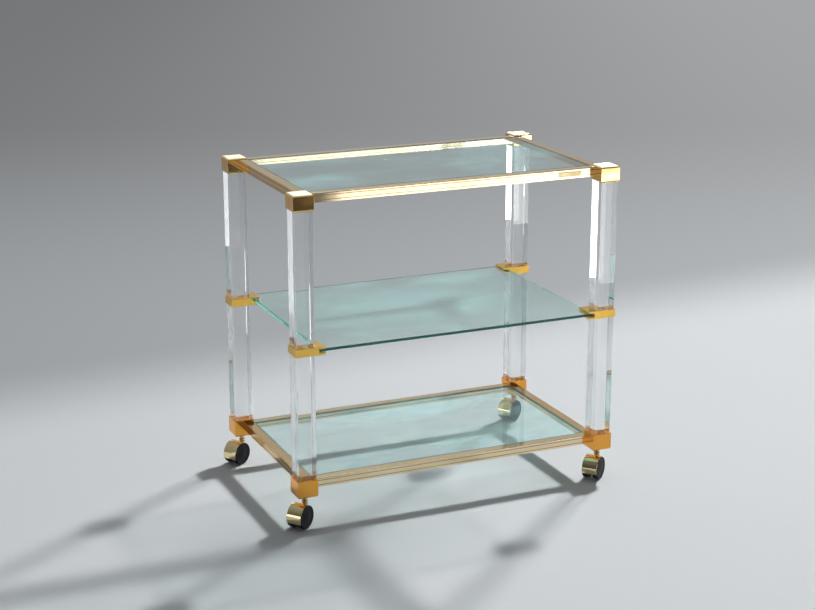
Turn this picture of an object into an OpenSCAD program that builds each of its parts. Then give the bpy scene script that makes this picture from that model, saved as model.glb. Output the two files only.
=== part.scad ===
// Dessert trolley: three glass shelves, clear acrylic posts, gold corner blocks,
// gold rails and four hooded casters with twin wheels.
// X runs along the length, Y from front to back and Z up.
// The origin lies on the floor, under the middle of the space that the trolley takes
// with its casters as they stand at rest.

/* [Frame] */
// Length over the corner blocks
frame_w = 740; // [560:10:1000]
// Depth over the corner blocks
frame_d = 450; // [320:10:600]
// Height from the floor to the top of the corner blocks
frame_h = 705; // [560:5:900]
// Height from the floor to the top face of the middle shelf
shelf_h = 384; // [240:2:440]

/* [Posts] */
// Side of the square acrylic post
post_size = 40; // [32:1:50]
// Chamfer along the post's long edges
post_chamfer = 1; // [0.5:0.1:2]
// Room between a post and the walls round it, filled by the bond
post_fit = 0.1; // [0.05:0.05:0.3]

/* [Corner blocks] */
// Wall of a corner block round the post
block_wall = 2.4; // [2.2:0.1:4]
// Height of the top corner block
top_block_h = 34; // [30:1:45]
// Closed cap over the post in the top corner block
top_cap = 6; // [4:0.5:7]
// Bevel round the cap
cap_bevel = 3; // [1:0.5:3.5]
// Height of the bevelled lip at the foot of the top corner block
lip_h = 3.5; // [1:0.5:5]
// Inward reach of that lip's bevel
lip_in = 1.6; // [0.5:0.1:1.8]
// Height of the bottom corner block
bottom_block_h = 38; // [34:1:50]
// Solid floor under the post in the bottom corner block
block_floor = 12; // [8:0.5:13]
// Bevel round the underside of the bottom corner block
foot_bevel = 3; // [1:0.5:4]
// Small bevel on the other block edges
edge_bevel = 0.6; // [0.3:0.1:1]

/* [Rails] */
// Width of the rail, outer face to inner face
rail_w = 20; // [17:0.5:24]
// Height of the rail
rail_h = 20; // [18:0.5:22]
// Wall of the hollow rail
rail_wall = 2; // [1.6:0.1:2.6]
// Step from the top of the top corner block down to the rail
top_rail_step = 3.5; // [2:0.5:5]
// Step from the top of the bottom corner block down to the rail
bottom_rail_step = 7.5; // [4:0.5:9]
// Radius of the rail's outer top edge
rail_round = 1.5; // [0.8:0.1:2]
// Small bevel on the rail's other edges
rail_bevel = 0.4; // [0.2:0.1:0.8]
// Height of the plain band between the two grooves
band_h = 9; // [7:0.5:10]
// Width of a groove
groove_w = 0.8; // [0.4:0.1:1.2]
// Depth of a groove
groove_deep = 0.7; // [0.3:0.1:0.9]
// Reach of the glass ledge from the rail's inner face
ledge_w = 4; // [3:0.5:8]
// Thickness of the glass ledge
ledge_t = 1.5; // [1:0.1:2]
// Diameter of the screw port inside the rail
port_d = 8; // [7:0.5:10]
// Web that holds the screw port
port_web = 1.6; // [1:0.1:2]

/* [Glass] */
// Thickness of the three panes
glass_t = 6; // [5:0.5:8]
// Polished bevel round a pane
glass_bevel = 1.2; // [0.5:0.1:1.8]
// Room between a pane and the rails
glass_gap = 0.5; // [0.3:0.1:1]
// Thickness of the clear strip between a ledge and its pane
strip_t = 1; // [0.5:0.1:1.5]
// Step from the clips' outer faces back to the middle pane's edge
shelf_inset = 2; // [0:0.5:4]

/* [Shelf clips] */
// Length of a clip along X
clip_w = 65; // [61:0.5:75]
// Depth of the slot that takes the pane
slot_deep = 13.5; // [9:0.5:14]
// Jaw under the pane
lower_jaw = 4.5; // [3:0.5:6]
// Jaw over the pane
upper_jaw = 4.1; // [3:0.1:6]
// Room between the pane and the upper jaw
slot_gap = 0.4; // [0.2:0.1:1]
// Small bevel on the clip's edges
clip_bevel = 0.8; // [0.4:0.1:1.2]
// Thickness of the pad under the pane
pad_t = 2; // [1:0.1:3]
// Thickness of the pad at the end of the pane
pad_end = 1; // [0.5:0.1:2]
// How far the pad stands out of the slot
pad_out = 1; // [0:0.5:2]
// Step from the clip's outer faces back to the pad
pad_inset = 2.5; // [1:0.5:5]

/* [Screws] */
// Diameter of the rail and clip screws
screw_d = 4; // [3:0.5:4.5]
// Length of a rail screw, with its head
rail_screw_l = 16; // [10:1:25]
// Length of a clip screw
clip_screw_l = 8; // [5:0.5:8.5]
// Diameter of the countersunk head
head_d = 8; // [7:0.5:9]
// Height of the countersunk head
head_h = 2; // [1.5:0.1:2.1]
// Room round a screw in its hole
screw_gap = 0.05; // [0.03:0.01:0.1]

/* [Name plate] */
// Length of the plate
plate_w = 55; // [30:1:90]
// Thickness of the plate
plate_t = 0.6; // [0.3:0.1:1]
// Distance from the frame's right side to the plate
plate_from_right = 80; // [60:5:200]
// Room between the plate and the grooves beside it
plate_gap = 0.1; // [0:0.1:0.5]
// Radius of the plate's corners
plate_round = 0.8; // [0.3:0.1:1.5]

/* [Casters] */
// Wheel diameter
wheel_d = 50; // [46:1:60]
// Width of one wheel
wheel_w = 13; // [11:0.5:16]
// Space between the two wheels of a caster
wheel_space = 11; // [10:0.5:14]
// Distance from the swivel axis back to the axle
trail = 19; // [16:0.5:21]
// Radius of the tread's edges
tread_round = 1.6; // [0.8:0.1:2.5]
// Width of the rim round the dished outer face
rim_w = 2.4; // [1.5:0.1:3.5]
// Depth of the dish in the outer face
dish_deep = 0.8; // [0.4:0.1:1.5]
// Depth of the hollow in the inner face
hollow_deep = 8; // [4:0.5:9]
// Wall of the wheel outside that hollow
tread_wall = 3.5; // [2.5:0.1:5]
// Diameter of the wheel's hub
hub_d = 14; // [12:0.5:18]
// Axle diameter
axle_d = 6; // [5:0.5:8]
// How far the axle reaches into a wheel
axle_in = 10; // [6:0.5:10.5]
// Running clearance between axle and wheel, all round
axle_gap = 0.06; // [0.03:0.01:0.1]
// Room between a wheel and the web beside it
web_gap = 1; // [0.7:0.1:1.5]
// Room between a wheel's hub and the web
hub_gap = 0.3; // [0.2:0.1:0.5]

/* [Caster hoods] */
// Thickness of the hood
hood_t = 1.2; // [1:0.1:2]
// Room between the wheels and the hood
hood_gap = 0.5; // [0.4:0.1:1]
// How far each wheel stands out of the hood's side
hood_side = 1.5; // [0.5:0.1:3]
// Angle from the horizontal down to the hood's lower edge
hood_low = 20; // [0:1:30]
// Angle from the top forwards to the hood's front edge
hood_fore = 13; // [5:1:25]
// Width of the neck between hood and swivel boss
neck_w = 14; // [10:0.5:20]
// How far the web reaches below the axle
web_drop = 8; // [5:0.5:12]
// Room between the swivel boss and the wheels
boss_gap = 0.5; // [0.4:0.1:1]
// How far the swivel boss reaches below its top
boss_h = 25; // [18:0.5:28]
// Diameter of the flange on top of the boss
flange_d = 14; // [12:0.5:18]
// Thickness of that flange
flange_t = 1.4; // [1:0.1:2]

/* [Caster stems] */
// Diameter of the swivel pin inside the boss
pin_d = 6; // [5:0.5:7]
// Running clearance between pin and boss, all round
pin_gap = 0.06; // [0.03:0.01:0.1]
// Room between the boss and the shoulder above it
swivel_gap = 0.2; // [0.1:0.1:0.4]
// Diameter of the stem's neck
neck_d = 8.4; // [8:0.1:11]
// Diameter of the stem's collar
collar_d = 13; // [11:0.5:18]
// Thickness of the collar
collar_t = 5; // [3:0.5:8]
// Neck between collar and hood
low_neck = 1.8; // [1:0.1:4]
// Neck between collar and corner block
high_neck = 11; // [4:0.5:20]
// Diameter of the thread in the corner block
thread_d = 8; // [6:0.5:10]
// Length of thread left out of the block's floor, below the post
thread_short = 1; // [0.5:0.5:3]

/* [Caster directions at rest] */
// Turn of the front left caster, from trailing straight to the left
turn_front_left = 38; // [-180:1:180]
// Turn of the front right caster
turn_front_right = 40; // [-180:1:180]
// Turn of the back left caster
turn_back_left = 32; // [-180:1:180]
// Turn of the back right caster
turn_back_right = 32; // [-180:1:180]

/* [Hidden] */
$fn = 64;

// Colours of the finishes
gold = [0.85, 0.66, 0.30];
rich_gold = [0.86, 0.63, 0.20];
pale_gold = [0.82, 0.74, 0.58];
brass = [0.70, 0.58, 0.34];
green_glass = [0.70, 0.85, 0.82, 0.5];
clear = [0.92, 0.95, 0.96, 0.4];
steel = [0.70, 0.70, 0.72];
black = [0.06, 0.06, 0.06];
white = [0.93, 0.92, 0.88];

// Each corner is [side along X, side along Y], with -1 for left and front
front_left = [-1, -1];
front_right = [1, -1];
back_left = [-1, 1];
back_right = [1, 1];
corners = [front_left, front_right, back_left, back_right];

// Cuts run this far past the faces they open
past = 1;

// Plan of a corner: the post and the socket lie in the middle of the block
block_size = post_size + 2 * (post_fit + block_wall);
post_from_edge = block_wall + post_fit;
socket_size = post_size + 2 * post_fit;
rail_from_edge = block_size - rail_w / 2;

// Casters, from the floor up
wheel_r = wheel_d / 2;
web_t = wheel_space - 2 * web_gap;
boss_d = wheel_space - 2 * boss_gap;
hood_in = wheel_r + hood_gap;
hood_out = hood_in + hood_t;
hood_w = wheel_space + 2 * (wheel_w - hood_side);
// The flange clears the wheels behind it, and its top is a whole number of millimetres
flange_over_wheel = sqrt(max(0, pow(flange_d / 2, 2) - pow(wheel_space / 2, 2)));
wheel_at_flange = wheel_r + sqrt(pow(wheel_r, 2) - pow(trail - flange_over_wheel, 2));
boss_top = ceil(wheel_at_flange + flange_t + swivel_gap);
pin_top = boss_top + swivel_gap;
collar_z = pin_top + low_neck;
ride_h = collar_z + collar_t + high_neck;

// How far a caster reaches from its swivel axis, in a direction given by its angle
// from the one in which the caster trails
function caster_reach(angle) = max(
    (trail + hood_out) * cos(angle) + hood_w / 2 * abs(sin(angle)),
    trail * cos(angle)
        + (wheel_r - tread_round) * abs(cos(angle))
        + (wheel_space / 2 + wheel_w - tread_round) * abs(sin(angle))
        + tread_round
);

// Distance from the frame's middle to an end of the space that the trolley takes:
// half is the same for the frame alone, and the angles are its two casters' there
function end_of_space(half, angles) =
    max(half, half - block_size / 2 + max([for (angle = angles) caster_reach(angle)]));

// The frame's middle, off the origin by whole millimetres, as the casters trail to one side
to_left = end_of_space(frame_w / 2, [turn_front_left, turn_back_left]);
to_right = end_of_space(frame_w / 2, [180 - turn_front_right, 180 - turn_back_right]);
to_front = end_of_space(frame_d / 2, [90 - turn_front_left, 90 - turn_front_right]);
to_back = end_of_space(frame_d / 2, [90 + turn_back_left, 90 + turn_back_right]);
middle_x = round((to_left - to_right) / 2);
middle_y = round((to_front - to_back) / 2);

// Heights of the frame
post_z = ride_h + block_floor;
post_l = frame_h - top_cap - post_z;
top_block_z = frame_h - top_block_h;
top_rail_z = frame_h - top_rail_step - rail_h;
bottom_rail_z = ride_h + bottom_block_h - bottom_rail_step - rail_h;
ledge_from_top = glass_t + strip_t + ledge_t;
rail_length_x = frame_w - 2 * block_size;
rail_length_y = frame_d - 2 * block_size;

// Shelf clips
slot_h = pad_t + glass_t + slot_gap;
clip_h = lower_jaw + slot_h + upper_jaw;
clip_z = shelf_h - glass_t - pad_t - lower_jaw;
slot_x = clip_w - slot_deep;
slot_mid = lower_jaw + slot_h / 2;
shelf_from_edge = slot_x + pad_end;

// Places what is drawn about the frame's middle
module at_middle() {
    translate([middle_x, middle_y, 0]) children();
}

// Places what is drawn for the front left corner at any corner: there, X and Y
// run inwards from the frame's outer edge.
module at_corner(corner) {
    at_middle() translate([corner[0] * frame_w / 2, corner[1] * frame_d / 2, 0])
        mirror([corner[0] > 0 ? 1 : 0, 0, 0])
            mirror([0, corner[1] > 0 ? 1 : 0, 0])
                children();
}

// Outline of a w by h rectangle whose corners are bevelled: low is the [across, up]
// bevel at the bottom and high the one at the top.
module bevelled_outline(w, h, low, high) {
    polygon([
        [low[0], 0], [w - low[0], 0], [w, low[1]], [w, h - high[1]],
        [w - high[0], h], [high[0], h], [0, h - high[1]], [0, low[1]]
    ]);
}

// Box with bevels round its bottom, round its top and up its corners
module bevelled_box(size, low, high, upright) {
    intersection() {
        translate([0, size[1], 0])
            rotate([90, 0, 0])
                linear_extrude(size[1]) bevelled_outline(size[0], size[2], low, high);
        rotate([90, 0, 90])
            linear_extrude(size[0]) bevelled_outline(size[1], size[2], low, high);
        linear_extrude(size[2])
            bevelled_outline(size[0], size[1], [upright, upright], [upright, upright]);
    }
}

// Hole for a countersunk rail screw, starting at the socket's wall and running along X
module rail_screw_hole() {
    translate([-past, 0, 0])
        rotate([0, 90, 0])
            cylinder(d = screw_d + 2 * screw_gap, h = block_wall + 2 * past);
    rotate([0, 90, 0])
        cylinder(
            d1 = head_d + 2 * screw_gap,
            d2 = screw_d + 2 * screw_gap,
            h = head_h
        );
}

// The same two places in each corner take the screws of the rails along X and along Y
module at_rail_screws(rail_z) {
    inner_wall = block_size - block_wall;
    translate([inner_wall, rail_from_edge, rail_z + rail_h / 2]) children();
    translate([rail_from_edge, inner_wall, rail_z + rail_h / 2])
        rotate([0, 0, 90]) children();
}

module top_corner(corner) {
    color(gold) at_corner(corner) difference() {
        translate([0, 0, top_block_z])
            bevelled_box(
                [block_size, block_size, top_block_h],
                [lip_in, lip_h], [cap_bevel, cap_bevel], edge_bevel
            );
        translate([block_wall, block_wall, top_block_z - past])
            cube([socket_size, socket_size, top_block_h - top_cap + past]);
        at_rail_screws(top_rail_z) rail_screw_hole();
    }
}

module post(corner) {
    color(clear) at_corner(corner)
        translate([post_from_edge, post_from_edge, post_z])
            bevelled_box([post_size, post_size, post_l], [0, 0], [0, 0], post_chamfer);
}

module bottom_corner(corner) {
    color(gold) at_corner(corner) difference() {
        translate([0, 0, ride_h])
            bevelled_box(
                [block_size, block_size, bottom_block_h],
                [foot_bevel, foot_bevel], [edge_bevel, edge_bevel], edge_bevel
            );
        translate([block_wall, block_wall, post_z])
            cube([socket_size, socket_size, bottom_block_h]);
        at_rail_screws(bottom_rail_z) rail_screw_hole();
        translate([block_size / 2, block_size / 2, ride_h - past])
            cylinder(d = thread_d + 2 * screw_gap, h = block_floor + 2 * past);
    }
}

// Section of the rail: X runs from the outer face inwards, Y up
module rail_section() {
    groove_at = (band_h + groove_w) / 2;
    difference() {
        union() {
            polygon([
                [rail_bevel, 0], [rail_w - rail_bevel, 0],
                [rail_w, rail_bevel], [rail_w, rail_h - rail_bevel],
                [rail_w - rail_bevel, rail_h], [rail_round, rail_h],
                [0, rail_h - rail_round], [0, rail_bevel]
            ]);
            translate([rail_round, rail_h - rail_round]) circle(rail_round);
        }
        for (face = [0, rail_w], up = [-groove_at, groove_at])
            translate([face, rail_h / 2 + up])
                square([2 * groove_deep, groove_w], center = true);
        difference() {
            translate([rail_wall, rail_wall])
                square([rail_w - 2 * rail_wall, rail_h - 2 * rail_wall]);
            translate([rail_w / 2, rail_h / 2]) {
                circle(d = port_d);
                square([port_web, rail_h], center = true);
            }
        }
        translate([rail_w / 2, rail_h / 2]) circle(d = screw_d + 2 * screw_gap);
    }
}

// Rail along X, centred on X, with its outer face towards -Y at y = 0.
// The ledge stops short of the corners by ledge_cut.
module rail(length, ledge_cut) {
    rotate([90, 0, 90]) translate([0, 0, -length / 2]) {
        linear_extrude(length) rail_section();
        translate([0, 0, ledge_cut]) linear_extrude(length - 2 * ledge_cut)
            translate([rail_w, rail_h - ledge_from_top]) square([ledge_w, ledge_t]);
    }
}

// Rails along the front and the back. Their ledges stop at the side rails' ledges.
module long_rail(side, rail_z) {
    color(pale_gold) at_middle() mirror([0, side > 0 ? 1 : 0, 0])
        translate([0, block_size - rail_w - frame_d / 2, rail_z])
            rail(rail_length_x, ledge_w + glass_gap);
}

// Rails along the left and right sides
module short_rail(side, rail_z) {
    color(pale_gold) at_middle() mirror([side > 0 ? 1 : 0, 0, 0])
        translate([block_size - rail_w - frame_w / 2, 0, rail_z])
            rotate([0, 0, -90]) rail(rail_length_y, 0);
}

// Countersunk screws through the corner blocks into the ports of the rails
module rail_screws(rail_z) {
    color(steel) for (corner = corners) at_corner(corner) at_rail_screws(rail_z)
        rotate([0, 90, 0]) {
            cylinder(d1 = head_d, d2 = screw_d, h = head_h);
            cylinder(d = screw_d, h = rail_screw_l);
        }
}

// Pane over the frame's middle, with its top face at top_z
module pane(w, d, top_z) {
    color(green_glass) at_middle() translate([-w / 2, -d / 2, top_z - glass_t])
        bevelled_box(
            [w, d, glass_t],
            [glass_bevel, glass_bevel], [glass_bevel, glass_bevel], glass_bevel
        );
}

// Pane inside the rails, its top flush with theirs
module framed_glass(rail_z) {
    pane(rail_length_x - 2 * glass_gap, rail_length_y - 2 * glass_gap, rail_z + rail_h);
}

module middle_glass() {
    pane(frame_w - 2 * shelf_from_edge, frame_d - 2 * shelf_inset, shelf_h);
}

// Clear strip that lies on the ledges, under the border of a pane
module glazing_strip(rail_z) {
    w = rail_length_x - 2 * glass_gap;
    d = rail_length_y - 2 * glass_gap;
    border = ledge_w - glass_gap;
    color(clear) at_middle() translate([0, 0, rail_z + rail_h - glass_t - strip_t])
        linear_extrude(strip_t) difference() {
            square([w, d], center = true);
            square([w - 2 * border, d - 2 * border], center = true);
        }
}

// Bare plate on the plain band of the front top rail
module name_plate() {
    h = band_h - 2 * plate_gap;
    color(brass) at_middle()
        translate([
            frame_w / 2 - plate_from_right - plate_w,
            block_size - rail_w - frame_d / 2,
            top_rail_z + (rail_h - h) / 2
        ])
            rotate([90, 0, 0])
                linear_extrude(plate_t) rounded_rectangle(plate_w, h, plate_round);
}

module rounded_rectangle(w, h, r) {
    translate([r, 0]) square([w - 2 * r, h]);
    translate([0, r]) square([w, h - 2 * r]);
    for (x = [r, w - r], y = [r, h - r]) translate([x, y]) circle(r);
}

// Clip that slides on a post and holds a corner of the middle pane in its slot
module clip(corner) {
    color(rich_gold) at_corner(corner) translate([0, 0, clip_z]) difference() {
        bevelled_box(
            [clip_w, block_size, clip_h],
            [clip_bevel, clip_bevel], [clip_bevel, clip_bevel], clip_bevel
        );
        translate([block_wall, block_wall, -past])
            cube([socket_size, socket_size, clip_h + 2 * past]);
        translate([slot_x, -past, lower_jaw])
            cube([slot_deep + past, block_size + 2 * past, slot_h]);
        translate([post_from_edge + post_size, block_size / 2, slot_mid])
            rotate([0, 90, 0])
                cylinder(d = screw_d + 2 * screw_gap, h = slot_x);
    }
}

// Pads under and behind the pane in the four slots
module clip_pads() {
    color(white) for (corner = corners) at_corner(corner)
        translate([slot_x, pad_inset, clip_z + lower_jaw]) {
            cube([slot_deep + pad_out, block_size - 2 * pad_inset, pad_t]);
            cube([pad_end, block_size - 2 * pad_inset, pad_t + glass_t]);
        }
}

// Headless screws that lock the clips on the posts, hidden at the end of the slots
module clip_screws() {
    color(steel) for (corner = corners) at_corner(corner)
        translate([post_from_edge + post_size, block_size / 2, clip_z + slot_mid])
            rotate([0, 90, 0]) cylinder(d = screw_d, h = clip_screw_l);
}

// Places what is drawn for a caster under its corner: X = 0 and Y = 0 are the swivel
// axis, the axle lies at X = -trail and runs along Y.
module at_caster(corner, turn) {
    inward = block_size / 2;
    at_middle() translate([
        corner[0] * (frame_w / 2 - inward),
        corner[1] * (frame_d / 2 - inward),
        0
    ])
        rotate([0, 0, turn]) children();
}

// Turned steel stem: thread, neck, collar, neck and swivel pin
module stem(corner, turn) {
    color(steel) at_caster(corner, turn) {
        translate([0, 0, pin_top - boss_h]) cylinder(d = pin_d, h = boss_h);
        translate([0, 0, pin_top]) cylinder(d = neck_d, h = ride_h - pin_top);
        translate([0, 0, collar_z]) cylinder(d = collar_d, h = collar_t);
        translate([0, 0, ride_h])
            cylinder(d = thread_d, h = block_floor - thread_short);
    }
}

// Part of a ring about the axle, from one angle to another, counted from the top
// towards the front of the caster
module hood_arc(from, to, width) {
    reach = 2 * hood_out;
    middle = (from + to) / 2;
    translate([-trail, width / 2, wheel_r]) rotate([90, 0, 0]) linear_extrude(width)
        intersection() {
            difference() {
                circle(hood_out, $fn = 96);
                circle(hood_in, $fn = 96);
            }
            polygon([
                [0, 0],
                [reach * sin(from), reach * cos(from)],
                [reach * sin(middle), reach * cos(middle)],
                [reach * sin(to), reach * cos(to)]
            ]);
        }
}

// Cast hood: shell over both wheels, neck, web between the wheels and swivel boss
module hood(corner, turn) {
    back_edge = -90 - hood_low;
    boss_angle = asin(trail / hood_out);
    color(gold) at_caster(corner, turn) difference() {
        union() {
            hood_arc(back_edge, hood_fore, hood_w);
            hood_arc(0, boss_angle, neck_w);
            translate([-trail, web_t / 2, wheel_r]) rotate([90, 0, 0]) linear_extrude(web_t)
                intersection() {
                    circle(hood_in + hood_t / 2, $fn = 96);
                    translate([-hood_out, -web_drop])
                        square([hood_out + trail, hood_out + web_drop]);
                }
            translate([0, 0, boss_top - boss_h]) cylinder(d = boss_d, h = boss_h);
            translate([0, 0, boss_top - flange_t]) cylinder(d = flange_d, h = flange_t);
        }
        translate([0, 0, boss_top - boss_h - past])
            cylinder(d = pin_d + 2 * pin_gap, h = boss_h + 2 * past);
        translate([-trail, 0, wheel_r]) rotate([90, 0, 0])
            cylinder(d = axle_d, h = wheel_space, center = true);
    }
}

// Steel axle, pressed into the web
module axle(corner, turn) {
    color(steel) at_caster(corner, turn)
        translate([-trail, 0, wheel_r]) rotate([90, 0, 0])
            cylinder(d = axle_d, h = wheel_space + 2 * axle_in, center = true);
}

// Section of a wheel: X is the radius, Y runs from the inner face to the outer face
module wheel_section() {
    hub_r = hub_d / 2;
    hollow_r = wheel_r - tread_wall;
    bore_r = axle_d / 2 + axle_gap;
    hub_out = web_gap - hub_gap;
    difference() {
        union() {
            square([wheel_r - tread_round, wheel_w]);
            translate([0, tread_round]) square([wheel_r, wheel_w - 2 * tread_round]);
            for (y = [tread_round, wheel_w - tread_round])
                translate([wheel_r - tread_round, y]) circle(tread_round);
            translate([0, -hub_out]) square([hub_r, hub_out + tread_round]);
        }
        translate([hub_r, -past]) square([hollow_r - hub_r, hollow_deep + past]);
        translate([0, -hub_out - past])
            square([bore_r, axle_in + hub_out + past + axle_gap]);
        translate([0, wheel_w - dish_deep]) square([wheel_r - rim_w, dish_deep + past]);
    }
}

// side is -1 for the wheel towards -Y before the caster is turned, 1 for the other
module wheel(corner, turn, side) {
    color(black) at_caster(corner, turn)
        translate([-trail, side * wheel_space / 2, wheel_r])
            rotate([-90 * side, 0, 0])
                rotate_extrude($fn = 96) wheel_section();
}

top_corner(front_left);  // top_corner_front_left
top_corner(front_right);  // top_corner_front_right
top_corner(back_left);  // top_corner_back_left
top_corner(back_right);  // top_corner_back_right

post(front_left);  // post_front_left
post(front_right);  // post_front_right
post(back_left);  // post_back_left
post(back_right);  // post_back_right

bottom_corner(front_left);  // bottom_corner_front_left
bottom_corner(front_right);  // bottom_corner_front_right
bottom_corner(back_left);  // bottom_corner_back_left
bottom_corner(back_right);  // bottom_corner_back_right

long_rail(-1, top_rail_z);  // top_rail_front
long_rail(1, top_rail_z);  // top_rail_back
short_rail(-1, top_rail_z);  // top_rail_left
short_rail(1, top_rail_z);  // top_rail_right

long_rail(-1, bottom_rail_z);  // bottom_rail_front
long_rail(1, bottom_rail_z);  // bottom_rail_back
short_rail(-1, bottom_rail_z);  // bottom_rail_left
short_rail(1, bottom_rail_z);  // bottom_rail_right

rail_screws(top_rail_z);  // top_rail_screws
rail_screws(bottom_rail_z);  // bottom_rail_screws

framed_glass(top_rail_z);  // top_glass
middle_glass();
framed_glass(bottom_rail_z);  // bottom_glass
glazing_strip(top_rail_z);  // top_glazing_strip
glazing_strip(bottom_rail_z);  // bottom_glazing_strip
name_plate();

clip(front_left);  // clip_front_left
clip(front_right);  // clip_front_right
clip(back_left);  // clip_back_left
clip(back_right);  // clip_back_right
clip_pads();
clip_screws();

stem(front_left, turn_front_left);  // stem_front_left
stem(front_right, turn_front_right);  // stem_front_right
stem(back_left, turn_back_left);  // stem_back_left
stem(back_right, turn_back_right);  // stem_back_right

hood(front_left, turn_front_left);  // hood_front_left
hood(front_right, turn_front_right);  // hood_front_right
hood(back_left, turn_back_left);  // hood_back_left
hood(back_right, turn_back_right);  // hood_back_right

axle(front_left, turn_front_left);  // axle_front_left
axle(front_right, turn_front_right);  // axle_front_right
axle(back_left, turn_back_left);  // axle_back_left
axle(back_right, turn_back_right);  // axle_back_right

wheel(front_left, turn_front_left, -1);  // wheel_a_front_left
wheel(front_right, turn_front_right, -1);  // wheel_a_front_right
wheel(back_left, turn_back_left, -1);  // wheel_a_back_left
wheel(back_right, turn_back_right, -1);  // wheel_a_back_right

wheel(front_left, turn_front_left, 1);  // wheel_b_front_left
wheel(front_right, turn_front_right, 1);  // wheel_b_front_right
wheel(back_left, turn_back_left, 1);  // wheel_b_back_left
wheel(back_right, turn_back_right, 1);  // wheel_b_back_right
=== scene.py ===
import math

import bmesh
import bpy
from mathutils import Matrix, Vector


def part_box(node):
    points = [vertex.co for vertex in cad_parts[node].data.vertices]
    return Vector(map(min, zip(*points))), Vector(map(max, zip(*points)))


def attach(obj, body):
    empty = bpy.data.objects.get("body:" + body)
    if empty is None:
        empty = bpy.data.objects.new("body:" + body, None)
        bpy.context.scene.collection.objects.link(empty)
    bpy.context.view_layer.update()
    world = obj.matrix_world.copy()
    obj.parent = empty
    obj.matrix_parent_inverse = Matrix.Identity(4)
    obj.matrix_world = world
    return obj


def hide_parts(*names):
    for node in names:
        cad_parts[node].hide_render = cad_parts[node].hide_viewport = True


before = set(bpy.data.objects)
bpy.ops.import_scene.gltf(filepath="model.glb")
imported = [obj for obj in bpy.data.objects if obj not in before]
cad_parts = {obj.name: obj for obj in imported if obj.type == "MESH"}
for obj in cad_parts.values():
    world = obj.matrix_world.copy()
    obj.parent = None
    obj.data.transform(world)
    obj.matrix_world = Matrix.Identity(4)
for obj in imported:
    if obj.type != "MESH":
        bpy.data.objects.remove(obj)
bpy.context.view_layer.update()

# ---------------------------------------------------------------------------
# Bottom corner blocks
# Four solid brass blocks, gold plated and polished. Each has a square socket from
# above, into which the post is bonded. Its bores for screws and stem aren't drawn.
# ---------------------------------------------------------------------------

# The frame's middle, and each corner: its side along X, its side along Y and the
# angle in degrees that its caster is turned by
MIDDLE = (13, 10)
FRAME = (740, 450)
CORNERS = {
    "front_left": (-1, -1, 38),
    "front_right": (1, -1, 40),
    "back_left": (-1, 1, 32),
    "back_right": (1, 1, 32),
}
MM = 0.001
BLOCK = 45
WALL = 2.4
UP = Vector((0, 0, 1))


def at_corner(corner):
    """Place for what is drawn in millimetres at the front left corner, with X and Y inwards."""
    side_x, side_y, _ = CORNERS[corner]
    outer = (MIDDLE[0] + side_x * FRAME[0] / 2, MIDDLE[1] + side_y * FRAME[1] / 2, 0)
    return (
        Matrix.Scale(MM, 4)
        @ Matrix.Translation(outer)
        @ Matrix.Diagonal((-side_x, -side_y, 1, 1))
    )


def solid_box(low, high):
    """A closed box as a bmesh, from its lowest to its highest corner, in millimetres."""
    bm = bmesh.new()
    size = [b - a for a, b in zip(low, high)]
    middle = [(a + b) / 2 for a, b in zip(low, high)]
    bmesh.ops.create_cube(bm, size=1)
    bmesh.ops.scale(bm, vec=size, verts=bm.verts)
    bmesh.ops.translate(bm, vec=middle, verts=bm.verts)
    return bm


def face_towards(bm, direction):
    """The face that looks in a direction and lies furthest that way."""
    faces = [f for f in bm.faces if f.normal.dot(direction) > 0.9]
    return max(faces, key=lambda f: f.calc_center_median().dot(direction))


def corner_edges(bm, test=lambda edge: True, degrees=25):
    """The edges between faces that meet at more than an angle."""
    limit = math.radians(degrees)
    return [e for e in bm.edges if abs(e.calc_face_angle(0)) > limit and test(e)]


def soften(bm, edges, width, segments=3):
    """Rounds or bevels edges by a width in millimetres."""
    bmesh.ops.bevel(
        bm, geom=edges, offset=width, offset_type="OFFSET", segments=segments,
        profile=0.5, affect="EDGES", clamp_overlap=True, material=-1,
    )


def sink_socket(bm, direction, wall, depth):
    """Sinks a socket into the face that looks in a direction, with a wall all round."""
    face = face_towards(bm, direction)
    bmesh.ops.inset_region(bm, faces=[face], thickness=wall, use_even_offset=True)
    sunk = bmesh.ops.extrude_discrete_faces(bm, faces=[face])["faces"][0]
    bmesh.ops.translate(bm, vec=-depth * direction, verts=sunk.verts)


def make_piece(bm, name, place, body, material, nodes, smooth=True):
    """Finishes a bmesh as a piece that stands for CAD nodes and rides on their body."""
    bmesh.ops.transform(bm, matrix=place, verts=bm.verts)
    bmesh.ops.recalc_face_normals(bm, faces=bm.faces)
    mesh = bpy.data.meshes.new(name)
    bm.to_mesh(mesh)
    bm.free()
    mesh.materials.append(material)
    piece = bpy.data.objects.new(name, mesh)
    bpy.context.scene.collection.objects.link(piece)
    if smooth:
        mesh.shade_smooth()
        mesh.set_sharp_from_angle(angle=math.radians(38))
        normals = piece.modifiers.new("flat faces stay flat", "WEIGHTED_NORMAL")
        normals.keep_sharp = True
    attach(piece, body)
    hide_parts(*nodes)
    return piece


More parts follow.
